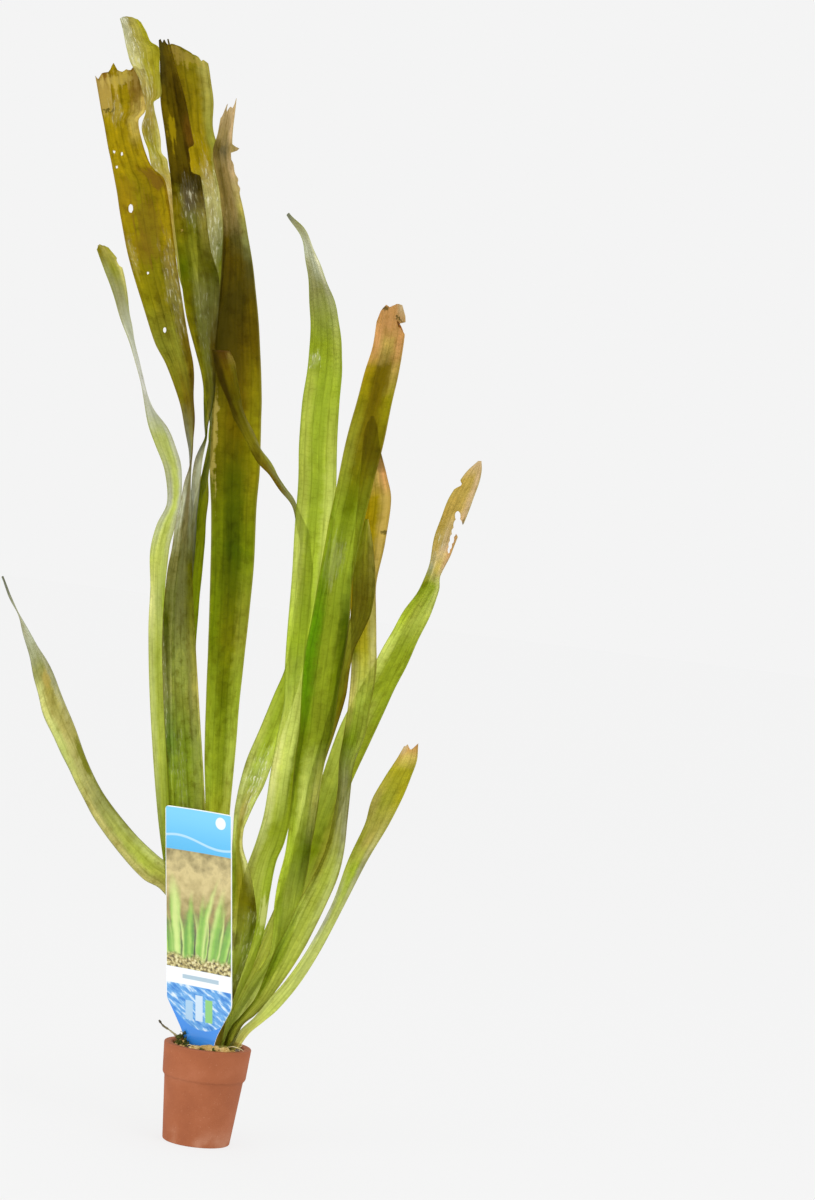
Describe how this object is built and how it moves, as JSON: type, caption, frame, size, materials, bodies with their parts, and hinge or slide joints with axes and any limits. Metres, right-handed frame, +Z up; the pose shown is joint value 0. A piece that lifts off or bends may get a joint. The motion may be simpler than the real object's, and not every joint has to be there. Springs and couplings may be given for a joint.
{
  "type": "potted vallisneria aquarium plant",
  "caption": "Tall strap-leaved aquarium plant in a small clay pot with a stick-in label; twisted, torn and browned leaves rise from one crown.",
  "frame": {"origin": "centre of the pot's flat base, where it rests", "axes": "+Z up along the pot's axis, -Y towards the viewer, +X to the viewer's right"},
  "size_m": [0.2307, 0.1071, 0.5595],
  "materials": {
    "pot": "matte",
    "growing_medium": "matte",
    "crown": "satin",
    "old_runner": "matte",
    "plant_label": "gloss",
    "leaf_far_left": "satin",
    "leaf_twisted_left": "satin",
    "leaf_broad_olive": "satin",
    "leaf_light_tall": "satin",
    "leaf_dark_tall": "satin",
    "leaf_olive_tall": "satin",
    "leaf_long_centre": "satin",
    "leaf_crossing": "satin",
    "leaf_bright_centre": "satin",
    "leaf_orange_tip": "satin",
    "leaf_ochre_tip": "satin",
    "leaf_hidden_brown": "satin",
    "leaf_torn_right": "satin",
    "leaf_short_right": "satin"
  },
  "bodies": {
    "root": {"pot": "pot", "growing_medium": "growing_medium", "crown": "crown", "old_runner": "old_runner", "plant_label": "plant_label", "leaf_far_left": "leaf_far_left", "leaf_twisted_left": "leaf_twisted_left", "leaf_broad_olive": "leaf_broad_olive", "leaf_light_tall": "leaf_light_tall", "leaf_dark_tall": "leaf_dark_tall", "leaf_olive_tall": "leaf_olive_tall", "leaf_long_centre": "leaf_long_centre", "leaf_crossing": "leaf_crossing", "leaf_bright_centre": "leaf_bright_centre", "leaf_orange_tip": "leaf_orange_tip", "leaf_ochre_tip": "leaf_ochre_tip", "leaf_hidden_brown": "leaf_hidden_brown", "leaf_torn_right": "leaf_torn_right", "leaf_short_right": "leaf_short_right"}
  },
  "joints": []
}
